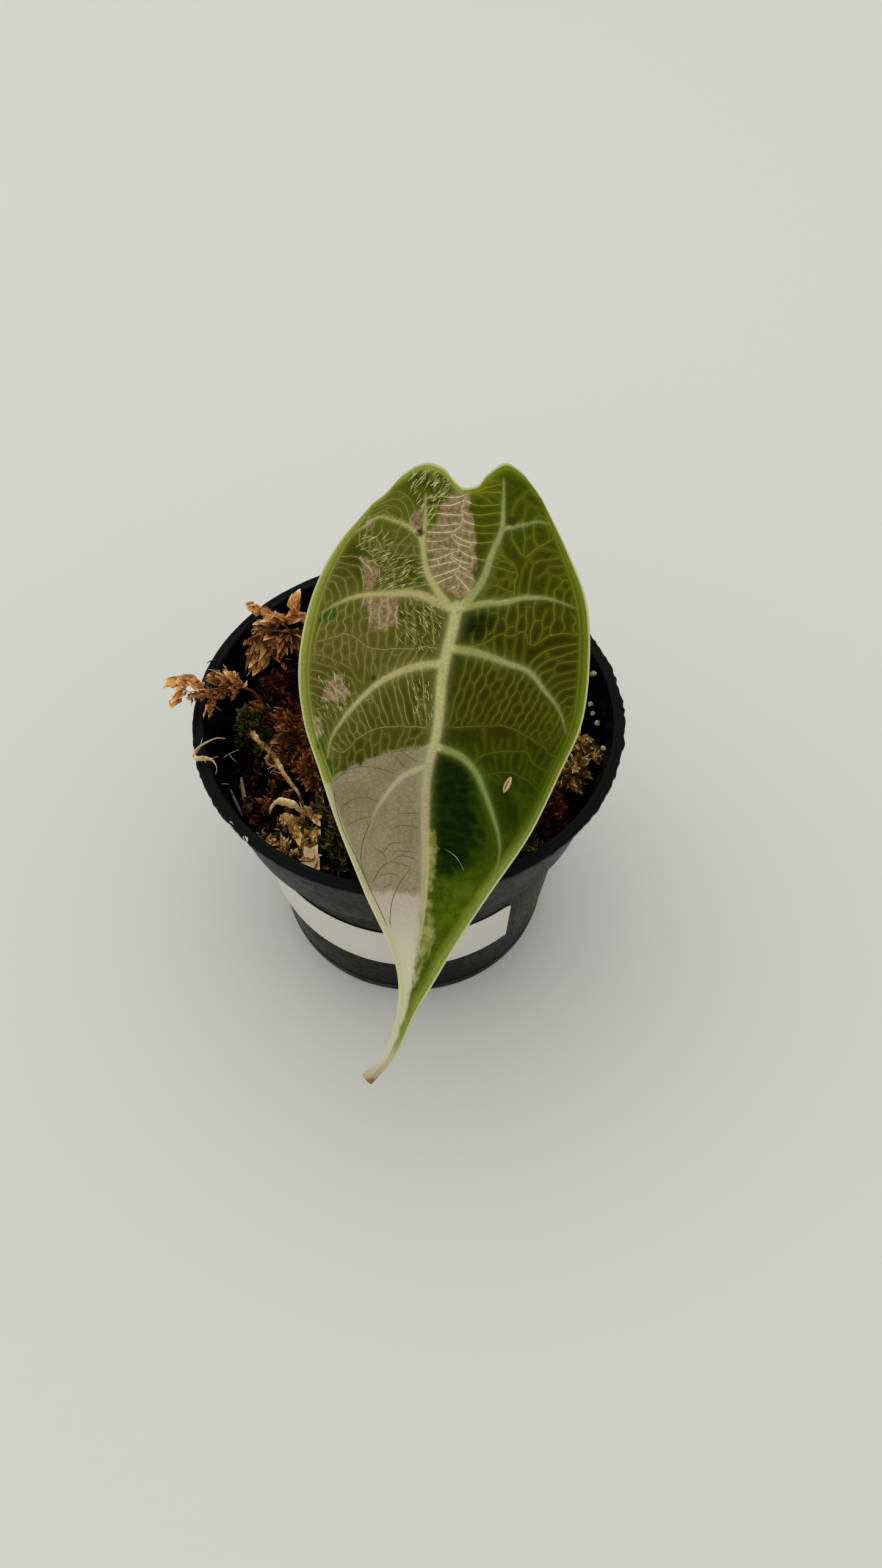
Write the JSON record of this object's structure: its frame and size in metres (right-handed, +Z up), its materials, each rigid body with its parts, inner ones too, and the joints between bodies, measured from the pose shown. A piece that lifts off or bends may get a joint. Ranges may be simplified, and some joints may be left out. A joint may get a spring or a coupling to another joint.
{
  "type": "potted alocasia plant",
  "caption": "Young variegated alocasia with a pointed shield-shaped leaf on a stalk, rooted in dried sphagnum moss in a round black nursery pot with a blank label",
  "frame": {"origin": "middle of the pot's flat base, on the surface that the pot stands on", "axes": "+Z is up through the pot, -Y is the side that the leaf tips towards and that the label faces, +X is to the right seen from there"},
  "size_m": [0.0938, 0.1157, 0.1273],
  "materials": {
    "pot_plastic": "black injection-moulded plastic, satin sheen, dusty edges",
    "label_film": "white laminated tape, blank",
    "moss_dark": "damp dark sphagnum bed",
    "root_skin": "pale fleshy root, matt",
    "stalk_skin": "smooth green stalk, satin",
    "leaf_skin": "variegated olive, green and pink-cream leaf skin, satin",
    "husk_paper": "dry translucent husk",
    "moss_tan": "dried orange-tan sphagnum",
    "moss_rust": "dried rust-brown sphagnum",
    "moss_red": "dark red sphagnum",
    "moss_cream": "bleached cream sphagnum",
    "moss_green": "dull olive-green moss",
    "straw": "dry straw-coloured stem",
    "perlite": "chalky mineral grain"
  },
  "bodies": {
    "root": {"nursery_pot": "pot_plastic", "pot_label": "label_film", "moss_bed": "moss_dark", "rhizome_and_roots": "root_skin", "leaf_stalk": "stalk_skin", "leaf_blade": "leaf_skin", "leaf_husk": "husk_paper", "rim_moss_sprig": "moss_tan", "back_moss_tuft": "moss_tan", "brown_moss_tuft": "moss_rust", "red_moss_tuft_left": "moss_red", "green_moss_tuft": "moss_green", "rust_moss_tuft": "moss_rust", "pale_moss_sprig": "moss_cream", "front_husk": "moss_cream", "front_green_sprig": "moss_green", "right_moss_tuft": "moss_tan", "right_moss_spike": "moss_tan", "red_moss_tuft_right": "moss_red", "olive_moss_tuft": "moss_green", "moss_tuft_back": "moss_rust", "moss_tuft_back_right": "moss_tan", "moss_tuft_right": "moss_rust", "moss_tuft_middle": "moss_tan", "moss_tuft_front": "moss_rust", "moss_tuft_inner": "moss_rust", "straw_stalk": "straw", "cream_moss_curl": "moss_cream", "wall_strand": "straw", "rim_root_strand": "straw", "rim_flake_left": "husk_paper", "rim_flake_front": "husk_paper", "rim_flake_hook": "husk_paper", "perlite_1": "perlite", "perlite_2": "perlite", "perlite_3": "perlite", "perlite_wall_1": "perlite", "perlite_wall_2": "perlite", "perlite_wall_3": "perlite", "perlite_wall_4": "perlite", "perlite_wall_5": "perlite"}
  },
  "joints": []
}
